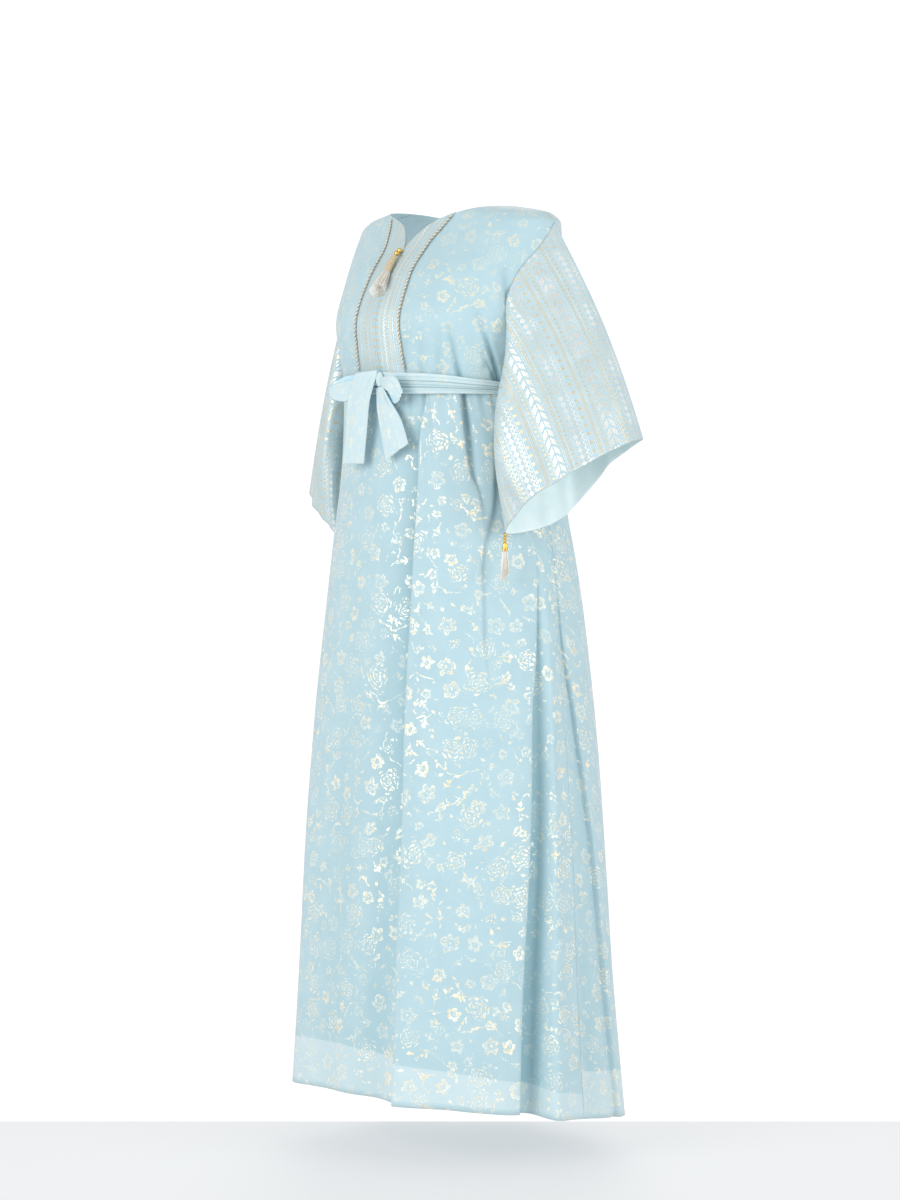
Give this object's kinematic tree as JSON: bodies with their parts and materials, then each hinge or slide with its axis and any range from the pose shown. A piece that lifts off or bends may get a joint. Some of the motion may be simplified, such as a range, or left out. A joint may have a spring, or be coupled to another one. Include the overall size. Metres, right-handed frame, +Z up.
{
  "type": "jalabiya",
  "caption": "Long hollow belted dress of foil printed cloth with wide open sleeves, a striped front panel, a tied bow and thread tassels.",
  "frame": {"origin": "midway between the two neck points, on the shoulder line that holds the garment up", "axes": "+Z up, -Y towards the front, +X towards the garment's own left sleeve"},
  "size_m": [0.6951, 0.4765, 1.4501],
  "materials": {
    "printed_cloth": "pale aqua chiffon with a champagne gold foil flower print",
    "striped_cloth": "pale aqua cloth with silver and gold foil stripes",
    "sash_cloth": "plain pale aqua chiffon with a faint foil print, folded",
    "braid": "twisted metallic gold braid",
    "gold_beads": "polished gold coloured beads",
    "thread": "shiny rayon tassel thread, champagne to off-white"
  },
  "bodies": {
    "root": {"bodice_front_left": "printed_cloth", "bodice_front_right": "printed_cloth", "bodice_back": "printed_cloth", "plastron_left": "striped_cloth", "plastron_right": "striped_cloth", "braid_left": "braid", "braid_right": "braid", "sleeve_left": "striped_cloth", "sleeve_right": "striped_cloth", "skirt_front": "printed_cloth", "skirt_back": "printed_cloth", "belt_band": "sash_cloth", "belt_tail_left": "sash_cloth", "belt_tail_right": "sash_cloth", "bow_loop_right": "sash_cloth", "bow_loop_left": "sash_cloth", "belt_knot": "sash_cloth", "neck_tassel_beads": "gold_beads", "neck_tassel": "thread", "sleeve_left_tassel_beads": "gold_beads", "sleeve_left_tassel": "thread", "sleeve_right_tassel_beads": "gold_beads", "sleeve_right_tassel": "thread"}
  },
  "joints": []
}
